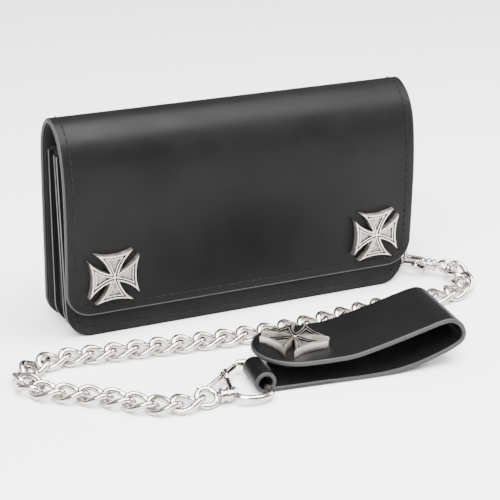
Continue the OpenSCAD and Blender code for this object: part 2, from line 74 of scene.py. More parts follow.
BACK_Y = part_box("back_cover")[1][1]
FLAP_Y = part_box("flap")[0][1]
HALF_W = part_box("back_cover")[1][0]
COVER_T = box_size("flap")[1]
CORNER_R = 13 * MM
LINING_T = 0.8 * MM


# ---------- node materials ----------

def new_material(name):
    mat = bpy.data.materials.new(name)
    mat.use_nodes = True
    tree = mat.node_tree
    shader = tree.nodes["Principled BSDF"]
    return mat, tree, shader


def add(tree, kind, **settings):
    node = tree.nodes.new(kind)
    for key, value in settings.items():
        if key in node.inputs:
            node.inputs[key].default_value = value
        else:
            setattr(node, key, value)
    return node


def object_coords(tree):
    return tree.nodes.new("ShaderNodeTexCoord").outputs["Object"]


def noise(tree, coords, scale, detail=4.0, rough=0.55):
    node = add(tree, "ShaderNodeTexNoise")
    node.inputs["Scale"].default_value = scale
    node.inputs["Detail"].default_value = detail
    node.inputs["Roughness"].default_value = rough
    tree.links.new(coords, node.inputs["Vector"])
    return node.outputs["Fac"]


def ramp(tree, factor, low, high, low_colour, high_colour):
    node = tree.nodes.new("ShaderNodeValToRGB")
    node.color_ramp.elements[0].position = low
    node.color_ramp.elements[1].position = high
    node.color_ramp.elements[0].color = (*low_colour, 1)
    node.color_ramp.elements[1].color = (*high_colour, 1)
    tree.links.new(factor, node.inputs["Fac"])
    return node.outputs["Color"]


def grey(value):
    return (value, value, value)


def bump(tree, height, strength, distance, under=None):
    node = tree.nodes.new("ShaderNodeBump")
    node.inputs["Strength"].default_value = strength
    node.inputs["Distance"].default_value = distance
    tree.links.new(height, node.inputs["Height"])
    if under is not None:
        tree.links.new(under, node.inputs["Normal"])
    return node.outputs["Normal"]


def pores(tree, coords, scale):
    node = tree.nodes.new("ShaderNodeTexVoronoi")
    node.feature = "DISTANCE_TO_EDGE"
    node.inputs["Scale"].default_value = scale
    tree.links.new(coords, node.inputs["Vector"])
    return node.outputs["Distance"]


def leather(name, dark, light, rough_low, rough_high, grain=0.25, edge=None):
    """Finished leather: soft mottling, fine pores, and paler cut edges where edge is given."""
    mat, tree, shader = new_material(name)
    coords = object_coords(tree)
    mottle = noise(tree, coords, 26, 5)
    fine = noise(tree, coords, 900, 3)
    colour = ramp(tree, mottle, 0.3, 0.75, dark, light)
    if edge is not None:
        normal = tree.nodes.new("ShaderNodeTexCoord").outputs["Normal"]
        split = tree.nodes.new("ShaderNodeSeparateXYZ")
        tree.links.new(normal, split.inputs["Vector"])
        side = add(tree, "ShaderNodeMath", operation="ABSOLUTE")
        tree.links.new(split.outputs["X"], side.inputs[0])
        ends = add(tree, "ShaderNodeMath", operation="ABSOLUTE")
        tree.links.new(split.outputs["Z"], ends.inputs[0])
        either = add(tree, "ShaderNodeMath", operation="MAXIMUM")
        tree.links.new(side.outputs[0], either.inputs[0])
        tree.links.new(ends.outputs[0], either.inputs[1])
        on_edge = ramp(tree, either.outputs[0], 0.5, 0.75, grey(0), grey(1))
        fibre = ramp(tree, fine, 0.3, 0.7, [0.6 * c for c in edge], edge)
        mix = tree.nodes.new("ShaderNodeMix")
        mix.data_type = "RGBA"
        tree.links.new(on_edge, mix.inputs["Factor"])
        tree.links.new(colour, mix.inputs["A"])
        tree.links.new(fibre, mix.inputs["B"])
        colour = mix.outputs["Result"]
    tree.links.new(colour, shader.inputs["Base Color"])
    wear = noise(tree, coords, 60, 6, 0.6)
    tree.links.new(ramp(tree, wear, 0.3, 0.75, grey(rough_low), grey(rough_high)),
                   shader.inputs["Roughness"])
    shader.inputs["Specular IOR Level"].default_value = 0.12
    waves = bump(tree, noise(tree, coords, 34, 2), 0.25, 0.0012)
    grainy = bump(tree, pores(tree, coords, 1500), grain, 0.00012, waves)
    tree.links.new(bump(tree, fine, grain, 0.00008, grainy), shader.inputs["Normal"])
    return mat


def cut_edge():
    """The raw, burnished edge of leather."""
    mat, tree, shader = new_material("cut_edge")
    coords = object_coords(tree)
    fibre = noise(tree, coords, 1400, 6, 0.7)
    tree.links.new(ramp(tree, fibre, 0.3, 0.75, grey(0.007), grey(0.022)), shader.inputs["Base Color"])
    tree.links.new(ramp(tree, fibre, 0.2, 0.8, grey(0.5), grey(0.75)), shader.inputs["Roughness"])
    tree.links.new(bump(tree, fibre, 0.6, 0.0002), shader.inputs["Normal"])
    return mat


def thread():
    mat, tree, shader = new_material("stitching")
    coords = object_coords(tree)
    twist = add(tree, "ShaderNodeTexWave")
    twist.inputs["Scale"].default_value = 700
    twist.inputs["Distortion"].default_value = 2
    twist.bands_direction = "DIAGONAL"
    tree.links.new(coords, twist.inputs["Vector"])
    tree.links.new(ramp(tree, twist.outputs["Fac"], 0.2, 0.8, grey(0.003), grey(0.01)),
                   shader.inputs["Base Color"])
    tree.links.new(bump(tree, twist.outputs["Fac"], 0.5, 0.0001), shader.inputs["Normal"])
    shader.inputs["Roughness"].default_value = 0.7
    shader.inputs["Specular IOR Level"].default_value = 0.15
    return mat


def polished(name, dark, light, rough_low, rough_high):
    """Plated metal with faint smears."""
    mat, tree, shader = new_material(name)
    coords = object_coords(tree)
    smear = noise(tree, coords, 220, 4)
    tree.links.new(ramp(tree, smear, 0.3, 0.7, dark, light), shader.inputs["Base Color"])
    tree.links.new(ramp(tree, noise(tree, coords, 500, 5), 0.3, 0.7, grey(rough_low), grey(rough_high)),
                   shader.inputs["Roughness"])
    shader.inputs["Metallic"].default_value = 1.0
    tree.links.new(bump(tree, noise(tree, coords, 300, 3), 0.12, 0.0001), shader.inputs["Normal"])
    return mat


def antique(name, dark, light):
    """Cast silver-coloured metal, darker in its hollows."""
    mat, tree, shader = new_material(name)
    coords = object_coords(tree)
    cast = noise(tree, coords, 1100, 6, 0.7)
    pit = noise(tree, coords, 380, 4)
    ao = tree.nodes.new("ShaderNodeAmbientOcclusion")
    ao.inputs["Distance"].default_value = 0.0016
    ao.samples = 8
    hollow = ramp(tree, ao.outputs["AO"], 0.35, 0.95, grey(0.05), grey(1))
    tone = ramp(tree, cast, 0.28, 0.66, dark, light)
    mix = tree.nodes.new("ShaderNodeMix")
    mix.data_type = "RGBA"
    mix.blend_type = "MULTIPLY"
    mix.inputs["Factor"].default_value = 1
    tree.links.new(tone, mix.inputs["A"])
    tree.links.new(hollow, mix.inputs["B"])
    tree.links.new(mix.outputs["Result"], shader.inputs["Base Color"])
    tree.links.new(ramp(tree, pit, 0.3, 0.7, grey(0.28), grey(0.5)), shader.inputs["Roughness"])
    shader.inputs["Metallic"].default_value = 1.0
    tree.links.new(bump(tree, cast, 0.5, 0.00018), shader.inputs["Normal"])
    return mat


def zip_cloth():
    mat, tree, shader = new_material("zip_tape")
    coords = object_coords(tree)
    weave = add(tree, "ShaderNodeTexWave")
    weave.inputs["Scale"].default_value = 600
    weave.bands_direction = "X"
    tree.links.new(coords, weave.inputs["Vector"])
    tree.links.new(ramp(tree, weave.outputs["Fac"], 0.2, 0.8, grey(0.008), grey(0.03)),
                   shader.inputs["Base Color"])
    tree.links.new(bump(tree, weave.outputs["Fac"], 0.6, 0.0002), shader.inputs["Normal"])
    shader.inputs["Roughness"].default_value = 0.8
    return mat


BLACK = leather("black_leather", grey(0.0025), grey(0.005), 0.36, 0.5)
PANEL = leather("panel_leather", grey(0.003), grey(0.006), 0.38, 0.5, edge=grey(0.028))
LINING = leather("lining_leather", grey(0.005), grey(0.011), 0.55, 0.7, grain=0.6)
EDGE = cut_edge()
THREAD = thread()
NICKEL = polished("bright_nickel", (0.42, 0.395, 0.36), (0.62, 0.59, 0.545), 0.06, 0.16)
STEEL = polished("snap_metal", (0.35, 0.35, 0.35), (0.6, 0.6, 0.6), 0.2, 0.4)
SILVER = antique("antique_silver", (0.36, 0.33, 0.3), (0.8, 0.75, 0.69))
SILVER_FIELD = antique("antique_silver_field", (0.1, 0.09, 0.08), (0.5, 0.46, 0.42))
SILVER_GROOVE = antique("antique_silver_groove", (0.012, 0.011, 0.01), (0.04, 0.036, 0.032))
TAPE = zip_cloth()
SLOTS = {
    "black_leather": PANEL, "lining_leather": LINING, "zip_tape": TAPE, "snap_metal": STEEL,
    "antique_silver": SILVER, "bright_nickel": NICKEL,
}

BEVELLED = ("front_panel", "pocket_back", "note_divider", "card_pocket_1", "card_pocket_2",
            "card_pocket_3", "ring_tab", "zip_pull", "zip_slider")
EDGE_ROUND = 0.3 * MM

for part in record["subparts"]:
    thing = nodes[part["node"]]
    thing.data.materials.clear()
    thing.data.materials.append(SLOTS[part["material_slot"]])
    if part["node"] in BEVELLED:
        rounding = thing.modifiers.new("rounding", "BEVEL")
        rounding.width = EDGE_ROUND
        rounding.segments = 2
        rounding.limit_method = "ANGLE"


# ---------- mesh helpers ----------

def make_object(name, points, faces, material_index, materials, smooth=True):
    mesh = bpy.data.meshes.new(name)
    mesh.from_pydata([tuple(p) for p in points], [], faces)
    for mat in materials:
        mesh.materials.append(mat)
    for face, index in zip(mesh.polygons, material_index):
        face.material_index = index
        face.use_smooth = smooth
    mesh.update()
    work = bmesh.new()
    work.from_mesh(mesh)
    bmesh.ops.recalc_face_normals(work, faces=work.faces)
    work.to_mesh(mesh)
    work.free()
    obj = bpy.data.objects.new(name, mesh)
    bpy.context.scene.collection.objects.link(obj)
    return obj


def spline(points, t):
    """Point at t on a smooth curve through the points; t runs from 0 to the last index."""
    last = len(points) - 1
    i = min(int(t), last - 1)
    u = t - i
    p0, p1, p2, p3 = (Vector(points[min(max(k, 0), last)]) for k in (i - 1, i, i + 1, i + 2))
    return 0.5 * (2 * p1 + (p2 - p0) * u + (2 * p0 - 5 * p1 + 4 * p2 - p3) * u * u
                  + (3 * p1 - p0 - 3 * p2 + p3) * u ** 3)


class Profile:
    """A flat curve measured by its length, with the direction in which the sheet's depth grows."""

    def __init__(self, points, turn, steps=40):
        last = len(points) - 1
        self.points = [spline(points, last * k / (last * steps)) for k in range(last * steps + 1)]
        self.at = [0.0]
        for a, b in zip(self.points, self.points[1:]):
            self.at.append(self.at[-1] + (b - a).length)
        self.length = self.at[-1]
        self.turn = turn

    def place(self, s):
        s = min(max(s, 0), self.length)
        low, high = 0, len(self.at) - 1
        while high - low > 1:
            mid = (low + high) // 2
            if self.at[mid] <= s:
                low = mid
            else:
                high = mid
        u = (s - self.at[low]) / max(self.at[high] - self.at[low], 1e-12)
        return self.points[low].lerp(self.points[high], u)

    def direction(self, s, reach=0.4 * MM):
        return (self.place(s + reach) - self.place(s - reach)).normalized()

    def inward(self, s):
        d = self.direction(s)
        return Vector((-d[1], d[0])) * self.turn

    def nearest(self, point):
        best = min(range(len(self.points)), key=lambda k: (self.points[k] - Vector(point)).length)
        return self.at[best]


def sheet(name, profile, rows, layers, place, columns, materials, swell=None):
    """A leather sheet. rows are (s, low, high, lean, inwards): the extent across at s, the angle
    of the edge there (90 on a straight side, 0 on an end) and the way into the sheet along s.
    layers are (depth, inset) from the face to the back. place turns (s-plane point, across) into 3D."""
    points, faces, index = [], [], []
    count = len(rows)
    width = columns + 1
    for depth, inset in layers:
        for s, low, high, lean, inwards in rows:
            at = s + inwards * inset * math.cos(lean)
            side = inset * math.sin(lean)
            p, n = profile.place(at), profile.inward(at)
            for c in range(width):
                x = low + side + (high - low - 2 * side) * c / columns
                out = swell(at, x) if swell else 0
                points.append(place(p + n * (depth - out), x))
    def vertex(layer, row, column):
        return (layer * count + row) * width + column
    last = len(layers) - 1
    for layer, kind in ((0, 0), (last, 0)):
        for r in range(count - 1):
            for c in range(columns):
                faces.append([vertex(layer, r, c), vertex(layer, r, c + 1),
                              vertex(layer, r + 1, c + 1), vertex(layer, r + 1, c)])
                index.append(kind)
    for layer in range(last):
        for r in range(count - 1):
            for c in (0, columns):
                faces.append([vertex(layer, r, c), vertex(layer, r + 1, c),
                              vertex(layer + 1, r + 1, c), vertex(layer + 1, r, c)])
                index.append(1)
        for r in (0, count - 1):
            for c in range(columns):
                faces.append([vertex(layer, r, c), vertex(layer, r, c + 1),
                              vertex(layer + 1, r, c + 1), vertex(layer + 1, r, c)])
                index.append(1)
    return make_object(name, points, faces, index, materials)


def rim(thickness, soft=0.35):
    """Depth and inset of each layer of a sheet with rounded edges."""
    t, b = thickness, soft * thickness
    return [(0, b), (0.08 * t, 0.35 * b), (0.25 * t, 0), (0.75 * t, 0), (0.92 * t, 0.35 * b), (t, b)]


def corner_rows(start, half, radius, inwards, steps=10):
    """Rows round two corners of a sheet's end; inwards is +1 at its start and -1 at its far end."""
    rows = []
    for k in range(steps + 1):
        lean = math.pi / 2 * k / steps
        s = start + inwards * radius * (1 - math.cos(lean))
        w = half - radius + radius * math.sin(lean)
        rows.append((s, -w, w, lean, inwards))
    return rows


def straight_rows(start, end, half, step, inwards=1):
    count = max(1, math.ceil(abs(end - start) / step))
    return [(start + (end - start) * k / count, -half, half, math.pi / 2, inwards)
            for k in range(count + 1)]


# ---------- cover and lining, from the back's lower edge over the top to the flap's ----------

# The closed cover in Y and Z, in millimetres, from the back's foot to the flap's lower edge
COVER_LINE = [(19, 0), (19, 25), (19.15, 50), (19.1, 72), (18.9, 87), (17.7, 96), (15.2, 101.6),
              (11.8, 105.4), (7, 107.8), (1, 106.9), (-5, 103), (-9.4, 97.6), (-12.4, 90), (-14.2, 80),
              (-15.3, 66), (-15.5, 50), (-15.2, 30), (-15, 12.5)]


def yz(point, x):
    return Vector((x, point[0], point[1]))


cover = Profile([(y * MM, z * MM) for y, z in COVER_LINE], turn=1)


def strip_middle(k):
    """Where the cover crosses the middle of fold strip k, as a distance along it."""
    (y0, z0), (y1, z1) = CREASES[k - 1], CREASES[k]
    return cover.nearest(((y0 + y1) / 2, (z0 + z1) / 2))


SEAMS = [0.0] + [strip_middle(k) for k in range(1, 6)] + [cover.length]
SEAM_SHADING = 1.6 * MM
# Rows lie close together this far from the fold, and wide apart on the flat panels
FOLD_SIDE = 16 * MM
FINE_STEP, WIDE_STEP = 0.7 * MM, 4 * MM


def follow(piece, k):
    """Piece k of the cover stays with the wallet, turns with the flap, or, at the hinge, is baked in
    place where it was built.
    """
    if k != HINGE:
        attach(piece, "wallet" if k < HINGE else "flap")
        return
    middle = Vector((0, *CREASES[k - 1]))
    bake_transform(piece)


def cover_swell(s, x):
    """How far the flap's face stands out: fullest at its middle, nothing at its edges."""
    if s < SEAMS[5]:
        return 0
    u = (s - SEAMS[5]) / (cover.length - SEAMS[5])
    return 0.5 * MM * math.sin(math.pi * min(max(u, 0), 1)) * math.cos(x / HALF_W * math.pi / 2)


def fold_rows(k, half, first, last_end, radius):
    """Rows of piece k of a sheet that runs along the cover between first and last_end."""
    start, end = max(SEAMS[k - 1], first), min(SEAMS[k], last_end)
    if k == 1:
        rows = corner_rows(start, half, radius, 1)
        bend = SEAMS[1] - FOLD_SIDE
        rows += straight_rows(start + radius, bend, half, WIDE_STEP)[1:]
        return rows + straight_rows(bend, end, half, FINE_STEP)[1:]
    if k == 6:
        bend = SEAMS[5] + FOLD_SIDE
        rows = straight_rows(start, bend, half, FINE_STEP, -1)
        rows += straight_rows(bend, end - radius, half, WIDE_STEP, -1)[1:]
        return rows + corner_rows(end, half, radius, -1)[::-1][1:]
    return straight_rows(start, end, half, FINE_STEP)


def shade_from_whole(obj, profile, k):
    """Gives the rows at a seam the normals of the unbroken sheet, so that no seam shows."""
    mesh = obj.data
    normals = [tuple(corner.vector) for corner in mesh.corner_normals]
    for face in mesh.polygons:
        if face.material_index:
            continue
        for loop_index in face.loop_indices:
            co = mesh.vertices[mesh.loops[loop_index].vertex_index].co
            s = profile.nearest((co[1], co[2]))
            if min(abs(s - SEAMS[k - 1]), abs(s - SEAMS[k])) < SEAM_SHADING:
                inward = profile.inward(s)
                n = Vector((0, inward[0], inward[1]))
                if n.dot(Vector(normals[loop_index])) < 0:
                    n.negate()
                normals[loop_index] = tuple(n)
    mesh.normals_split_custom_set(normals)


def sharpen(obj, angle=40):
    obj.data.set_sharp_from_angle(angle=math.radians(angle))


def make_cover():
    lining_low, lining_end = 1.6 * MM, cover.length - 1.2 * MM
    for k in range(1, 7):
        piece = sheet("cover_%d" % k, cover, fold_rows(k, HALF_W, 0, cover.length, CORNER_R),
                      rim(COVER_T), yz, 64, [BLACK, EDGE], cover_swell)
        sharpen(piece)
        shade_from_whole(piece, cover, k)
        follow(piece, k)
        inner = [(COVER_T + 0.04 * MM + d, i) for d, i in rim(LINING_T)]
        lining = sheet("lining_%d" % k, cover,
                       fold_rows(k, HALF_W - 1.3 * MM, lining_low, lining_end, CORNER_R - 1.3 * MM),
                       inner, yz, 48, [LINING, LINING], cover_swell)
        sharpen(lining)
        follow(lining, k)
        if k == 1:
            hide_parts("back_cover")
            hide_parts("back_lining")
        elif k == 6:
            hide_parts("flap", "fold_strip_5")
            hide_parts("flap_lining")
        else:
            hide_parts("fold_strip_%d" % (k - 1))


make_cover()


# ---------- stitching ----------

STITCH, STITCH_GAP, THREAD_R = 2.7 * MM, 3.7 * MM, 0.34 * MM
STITCH_INSET = 4.6 * MM
# The back and the flap are sewn in two runs that meet this far up the back
BACK_STITCHED = 70 * MM


def stitch_points(at, along, out, points, faces):
    """One stitch: a short thread that dives into the leather at both ends."""
    rings, sides = 7, 6
    across = along.cross(out).normalized()
    base = len(points)
    for i in range(rings):
        u = i / (rings - 1)
        lift = THREAD_R * (math.sin(math.pi * u) * 1.15 - 0.55)
        radius = THREAD_R * (0.75 + 0.25 * math.sin(math.pi * u))
        middle = at + along * STITCH * (u - 0.5) + out * lift
        for j in range(sides):
            a = 2 * math.pi * j / sides
            points.append(middle + radius * (math.cos(a) * across + math.sin(a) * out))
    for i in range(rings - 1):
        for j in range(sides):
            m = (j + 1) % sides
            faces.append([base + i * sides + j, base + i * sides + m,
                          base + (i + 1) * sides + m, base + (i + 1) * sides + j])
    faces.append([base + j for j in range(sides)])
    faces.append([base + (rings - 1) * sides + j for j in range(sides)])


def stitched(name, places):
    points, faces = [], []
    for at, along, out in places:
        stitch_points(at, along, out, points, faces)
    obj = make_object(name, points, faces, [0] * len(faces), [THREAD])
    return obj


def edge_path(length, half, radius, inset, upper):
    """(s, x, lean) along a sheet's side, round its far corner, along its end and back up."""
    w, r = half - inset, radius - inset
    side = length - radius - upper
    quarter = math.pi / 2 * r
    bottom = 2 * (half - radius)
    total = 2 * side + 2 * quarter + bottom
    count = int(total / STITCH_GAP)
    path = []
    for k in range(count + 1):
        d = total * k / count
        if d < side:
            path.append((upper + d, -w, 90))
        elif d < side + quarter:
            a = (d - side) / r
            path.append((length - radius + r * math.sin(a), -(half - radius) - r * math.cos(a),
                         90 - math.degrees(a)))
        elif d < side + quarter + bottom:
            path.append((length - inset, -(half - radius) + d - side - quarter, 0))
        elif d < side + 2 * quarter + bottom:
            a = (d - side - quarter - bottom) / r
            path.append((length - radius + r * math.cos(a), half - radius + r * math.sin(a),
                         -math.degrees(a)))
        else:
            path.append((length - radius - (d - side - 2 * quarter - bottom), w, -90))
    return path


def stitch_cover():
    groups = {k: [] for k in range(1, 7)}
    for s, x, lean in edge_path(cover.length, HALF_W, CORNER_R, STITCH_INSET, BACK_STITCHED):
        p, n, d = cover.place(s), cover.inward(s), cover.direction(s)
        k = next(i for i in range(1, 7) if s <= SEAMS[i] + 1e-9)
        a = math.radians(lean)
        along = (yz(d, 0) * math.sin(a) + Vector((math.cos(a), 0, 0))).normalized()
        out = -yz(n, 0)
        at = yz(p, x) + out * cover_swell(s, x)
        groups[k].append((at, along, out))
    for s, x, lean in edge_path(BACK_STITCHED, HALF_W, CORNER_R, STITCH_INSET, 0):
        flipped = BACK_STITCHED - s
        p, n, d = cover.place(flipped), cover.inward(flipped), cover.direction(flipped)
        a = math.radians(lean)
        along = (-yz(d, 0) * math.sin(a) + Vector((math.cos(a), 0, 0))).normalized()
        groups[1].append((yz(p, x), along, -yz(n, 0)))
    for k, places in groups.items():
        if places:
            follow(stitched("cover_stitches_%d" % k, places), k)


stitch_cover()

# The front panel, which leans back about its lower back edge
PANEL_LEAN = math.radians(5.8)
PANEL_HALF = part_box("front_panel")[1][0]
PANEL_HIGH = 91 * MM
PANEL_T = 2 * MM


def stitch_front_panel():
    """Rows on the front panel's face, which leans back about its lower back edge."""
    pivot_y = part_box("front_panel")[0][1] + PANEL_T
    up = Vector((0, math.sin(PANEL_LEAN), math.cos(PANEL_LEAN)))
    out = Vector((0, -math.cos(PANEL_LEAN), math.sin(PANEL_LEAN)))
    foot = Vector((0, pivot_y, 0)) + out * PANEL_T
    places = []
    for s, x, lean in edge_path(PANEL_HIGH, PANEL_HALF, CORNER_R, 4.2 * MM, 6 * MM):
        a = math.radians(lean)
        along = (-up * math.sin(a) + Vector((math.cos(a), 0, 0))).normalized()
        places.append((foot + up * (PANEL_HIGH - s) + Vector((x, 0, 0)), along, out))
    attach(stitched("front_panel_stitches", places), "wallet")


stitch_front_panel()


# ---------- gussets, pleated inwards ----------

def gusset(name, node, depth, y_front, y_back, pleats):
    """A soft band along the sides and bottom; y_front and y_back give its edges at height z."""
    inset, high = 2.5 * MM, 91 * MM
    half, radius = PANEL_HALF - inset, CORNER_R - inset
    line = []
    for k in range(24):
        line.append((-half, high - (high - inset - radius) * k / 24, 1, 0))
    for k in range(13):
        a = math.pi / 2 * k / 12
        line.append((-half + radius * (1 - math.cos(a)), inset + radius * (1 - math.sin(a)),
                     math.cos(a), math.sin(a)))
    for k in range(1, 40):
        line.append((-half + radius + 2 * (half - radius) * k / 40, inset, 0, 1))
    line += [(-x, z, -nx, nz) for x, z, nx, nz in line[36::-1]]
    cross = 8 * pleats
    points, faces = [], []
    for i, (x, z, nx, nz) in enumerate(line):
        for j in range(cross + 1):
            u = j / cross
            fold = abs(math.sin(math.pi * u * pleats)) ** 0.8
            d = depth * fold + 0.25 * MM * math.sin(9 * u + i * 0.37)
            y = y_front(z) + (y_back(z) - y_front(z)) * u
            points.append(Vector((x + nx * d, y, z + nz * d)))
    for i in range(len(line) - 1):
        for j in range(cross):
            a = i * (cross + 1) + j
            faces.append([a, a + 1, a + cross + 2, a + cross + 1])
    obj = make_object(name, points, faces, [0] * len(faces), [LINING])
    skin = obj.modifiers.new("thickness", "SOLIDIFY")
    skin.thickness = 0.7 * MM
    skin.offset = 0
    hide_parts(node)
    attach(obj, "wallet")


def leaning(node, lean, back):
    """Y of a leaning panel's front or back face at height z."""
    low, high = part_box(node)
    thick = (high[1] - low[1] - math.tan(lean) * PANEL_HIGH * math.cos(lean)) / math.cos(lean)
    foot = low[1] + thick
    shift = 0.35 * MM if back else -0.35 * MM - thick / math.cos(lean)
    return lambda z: foot + shift + math.tan(lean) * z


DIVIDER_LEAN = math.radians(2.3)
gusset("front_gusset_leather", "front_gusset", 5.5 * MM,
       leaning("pocket_back", PANEL_LEAN, True), leaning("note_divider", DIVIDER_LEAN, False), 1)
gusset("rear_gusset_leather", "rear_gusset", 4.5 * MM,
       leaning("note_divider", DIVIDER_LEAN, True), lambda z: BACK_Y - COVER_T - 1.3 * MM, 1)


# ---------- conchos ----------

CONCHO_W = 26 * MM
CONCHO_T = 4 * MM


def cross_quarter(size, inset):
    """From the middle of one arm's end, round its tip and down its side to the notch, then mirrored."""
    h = size / 2
    cut = 1.6 * h + inset
    def end_y(x):
        return min(2.86 * h - inset - math.sqrt(4 * h * h - x * x), h - inset)
    def side_x(y):
        return 1.706 * h - math.sqrt(max(cut ** 2 - (y + 0.286 * h) ** 2, 0))
    tip = 0.7 * h
    for _ in range(30):
        tip = side_x(end_y(tip))
    notch = max((2.84 * h - math.sqrt(8.0656 * h * h - 8 * (2.992 * h * h - cut ** 2))) / 4, 0)
    points = [(tip * k / 6, end_y(tip * k / 6)) for k in range(7)]
    top = points[-1][1]
    for k in range(1, 13):
        y = top + (notch - top) * k / 13
        points.append((max(side_x(y), 0), y))
    return points + [(notch, notch)] + [(y, x) for x, y in points[:0:-1]]


def cross_ring(size, inset):
    ring = []
    quarter = cross_quarter(size, inset)
    for turn in range(4):
        c, s = round(math.cos(turn * math.pi / 2)), round(math.sin(turn * math.pi / 2))
        ring += [(x * c + y * s, -x * s + y * c) for x, y in quarter]
    return ring


# Inset from the outline and height of each ring, in shares of the size and of the thickness
CONCHO_STEPS = [(0, 0), (0, 0.9), (0.006, 1), (0.032, 1), (0.037, 0.72), (0.05, 0.7),
                (0.055, 0.93), (0.076, 0.93), (0.082, 0.74), (0.12, 0.7)]


def concho(name, node, body, place):
    """A cast cross with a raised rim, an inner ridge and pitted fields; place maps x, y, up to 3D."""
    points, faces = [], []
    rings = [cross_ring(CONCHO_W, inset * CONCHO_W) for inset, _ in CONCHO_STEPS]
    count = len(rings[0])
    for ring, (_, height) in zip(rings, CONCHO_STEPS):
        crown = height * CONCHO_T
        for x, y in ring:
            reach = math.hypot(x, y) / (CONCHO_W / 2)
            points.append(place(x, y, crown + 0.25 * MM * (1 - reach * reach) * (height > 0)))
    for i in range(len(rings) - 1):
        for j in range(count):
            m = (j + 1) % count
            faces.append([i * count + j, i * count + m, (i + 1) * count + m, (i + 1) * count + j])
    middle = len(points)
    points.append(place(0, 0, CONCHO_STEPS[-1][1] * CONCHO_T + 0.3 * MM))
    inner = (len(rings) - 1) * count
    for j in range(count):
        faces.append([inner + j, inner + (j + 1) % count, middle])
    faces.append(list(range(count)))
    boss_ring, boss_r = 20, 0.7 * MM
    base = len(points)
    for height, radius in ((0.74, 1.25), (0.95, 1.1), (1.05, 0.7), (1.08, 0.25)):
        for j in range(boss_ring):
            a = 2 * math.pi * j / boss_ring
            points.append(place(boss_r * radius * math.cos(a), boss_r * radius * math.sin(a),
                                height * CONCHO_T))
    for i in range(3):
        for j in range(boss_ring):
            m = (j + 1) % boss_ring
            faces.append([base + i * boss_ring + j, base + i * boss_ring + m,
                          base + (i + 1) * boss_ring + m, base + (i + 1) * boss_ring + j])
    faces.append([base + 3 * boss_ring + j for j in range(boss_ring)])
    faces.append([base + j for j in range(boss_ring)])
    # Grooves lie in the bands between steps 3 and 6 and on the drop to the field
    band = {3: 2, 4: 2, 5: 2, 7: 2, 8: 1}
    index = [band.get(i, 0) for i in range(len(rings) - 1) for _ in range(count)] + [1] * count
    index += [0] * (len(faces) - len(index))
    obj = make_object(name, points, faces, index, [SILVER, SILVER_FIELD, SILVER_GROOVE])
    sharpen(obj, 35)
    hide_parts(node)
    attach(obj, body)


for side, node in ((-1, "concho_left"), (1, "concho_right")):
    low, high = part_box(node)
    mid_x, mid_z = (low[0] + high[0]) / 2, (low[2] + high[2]) / 2
    face_y = FLAP_Y - 0.45 * MM
    concho(node + "_cast", node, "flap",
           lambda x, y, up, cx=mid_x, cz=mid_z: Vector((cx + x, face_y - up, cz + y)))


# ---------- chain ----------

# The chain's middle line, in millimetres, as the CAD lays it
ROUTE = [
    (120, -18, 6.4), (120.5, -24.5, 5.6), (118.5, -31, 4.5), (114.5, -37.5, 3.9),
    (108, -42, 3.6), (98, -43.5, 3.6), (80, -42.5, 3.6), (56, -43, 3.6), (34, -46, 3.6),
    (8, -48, 3.6), (-16, -47, 3.6), (-38, -45, 3.6), (-62, -42, 3.6), (-86, -39, 3.6),
    (-102, -36.5, 3.6), (-115, -37, 3.6), (-125.5, -43, 3.6), (-129.5, -54, 3.6),
    (-125.5, -65, 3.6), (-115, -72.5, 3.6), (-102.5, -81, 3.6), (-92, -91.5, 3.6),
    (-83, -99.5, 3.6), (-74.5, -103, 3.8), (-64, -102.5, 4.2)]
LINK_COUNT, LINK_PITCH = 33, 11 * MM
WIRE_D, LINK_L, LINK_W = 2.9 * MM, 18.2 * MM, 13.2 * MM
LINK_TWIST = math.radians(-90)


class Route:
    """A smooth line in space, measured by its length."""

    def __init__(self, points, steps=8):
        last = len(points) - 1
        self.points = [spline(points, k / steps) for k in range(last * steps + 1)]
        self.at = [0.0]
        for a, b in zip(self.points, self.points[1:]):
            self.at.append(self.at[-1] + (b - a).length)

    def place(self, s):
        if s >= self.at[-1]:
            return self.points[-1].copy()
        i = next(k for k in range(len(self.at) - 1) if self.at[k + 1] > s)
        return self.points[i].lerp(self.points[i + 1], (s - self.at[i]) / (self.at[i + 1] - self.at[i]))


def link_joints(route):
    joints_at, s = [route.place(0)], 0.0
    for _ in range(LINK_COUNT):
        guess = s + LINK_PITCH
        for _ in range(6):
            guess += LINK_PITCH - (route.place(guess) - joints_at[-1]).length
        s = guess
        joints_at.append(route.place(s))
    return joints_at


def tube(points, faces, line, radius, sides, closed=False):
    """Adds a round tube along a line of points to a mesh under construction."""
    base, count = len(points), len(line)
    up = None
    for i, p in enumerate(line):
        if closed:
            d = (line[(i + 1) % count] - line[i - 1]).normalized()
        else:
            d = (line[min(i + 1, count - 1)] - line[max(i - 1, 0)]).normalized()
        if up is None:
            up = d.orthogonal().normalized()
        up = (up - d * up.dot(d)).normalized()
        side = d.cross(up)
        r = radius(i / (count - 1)) if callable(radius) else radius
        for j in range(sides):
            a = 2 * math.pi * j / sides
            points.append(p + r * (math.cos(a) * up + math.sin(a) * side))
    for i in range(count if closed else count - 1):
        k = (i + 1) % count
        shift = 0
        if closed and k == 0:
            first = points[base]
            row = [(points[base + i * sides + j] - first).length for j in range(sides)]
            shift = row.index(min(row))
        for j in range(sides):
            m = (j + 1) % sides
            faces.append([base + i * sides + (j + shift) % sides, base + i * sides + (m + shift) % sides,
                          base + k * sides + m, base + k * sides + j])
    if not closed:
        faces.append([base + j for j in range(sides)])
        faces.append([base + (count - 1) * sides + j for j in range(sides)])


